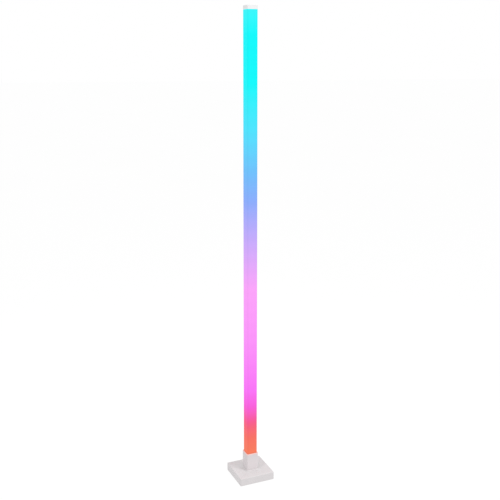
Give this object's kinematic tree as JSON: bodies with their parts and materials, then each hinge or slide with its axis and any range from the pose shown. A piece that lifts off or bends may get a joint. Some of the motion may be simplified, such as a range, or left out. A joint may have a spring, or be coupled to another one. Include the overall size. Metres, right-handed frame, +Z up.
{
  "type": "floor lamp",
  "caption": "Square LED column floor lamp: a lit opal tube on an inner aluminium spine, closed by a flat cap and set in a collar on a weighted square base with rear buttons and power inlet.",
  "frame": {"origin": "on the floor, under the middle of the square base", "axes": "+Z up along the light column; -Y is the front; +Y is the rear side with the inlet and the buttons; +X is to the right seen from the front"},
  "size_m": [0.112, 0.112, 1.42],
  "materials": {
    "shell_white": "satin",
    "opal_lit": "satin",
    "weight_steel": "matte",
    "underside_plastic": "matte",
    "pad_rubber": "matte",
    "screw_steel": "satin",
    "inner_plastic": "satin",
    "brass": "satin",
    "spine_aluminium": "satin",
    "clear_plastic": "gloss",
    "strip_film": "satin",
    "led_body": "gloss",
    "circuit_board": "satin",
    "module_board": "satin",
    "can_steel": "satin",
    "dark_plastic": "satin",
    "button_grey": "satin",
    "wire_red": "satin",
    "cable_white": "satin"
  },
  "bodies": {
    "lamp": {"base_cover": "shell_white", "top_cap": "shell_white", "diffuser_tube": "opal_lit", "counterweight": "weight_steel", "bottom_cover": "underside_plastic", "rubber_feet": "pad_rubber", "bottom_cover_screws": "screw_steel", "column_screws": "screw_steel", "board_screws": "screw_steel", "column_foot": "inner_plastic", "foot_inserts": "brass", "spine": "spine_aluminium", "spine_spacers": "clear_plastic", "led_strips": "strip_film", "led_packages": "led_body", "link_board": "circuit_board", "control_board": "circuit_board", "controller_module": "module_board", "shield_can": "can_steel", "capacitor": "can_steel", "inductor": "dark_plastic", "power_switch_body": "dark_plastic", "mode_switch_body": "dark_plastic", "power_socket": "dark_plastic", "power_socket_nut": "screw_steel", "power_socket_contacts": "brass", "power_wires": "wire_red", "board_header": "inner_plastic", "harness_plug": "inner_plastic", "column_cable": "cable_white"},
    "power_key": {"power_button": "button_grey", "power_switch_plunger": "inner_plastic"},
    "mode_key": {"mode_button": "button_grey", "mode_switch_plunger": "inner_plastic"}
  },
  "joints": [
    {"name": "power_button_press", "type": "slide", "parent": "lamp", "child": "power_key", "axis": [0, -1, 0], "range_m": [0, 0.0006], "stiffness_N_per_m": 2000, "springref_m": -0.0003},
    {"name": "mode_button_press", "type": "slide", "parent": "lamp", "child": "mode_key", "axis": [0, -1, 0], "range_m": [0, 0.0006], "stiffness_N_per_m": 2000, "springref_m": -0.0003}
  ]
}
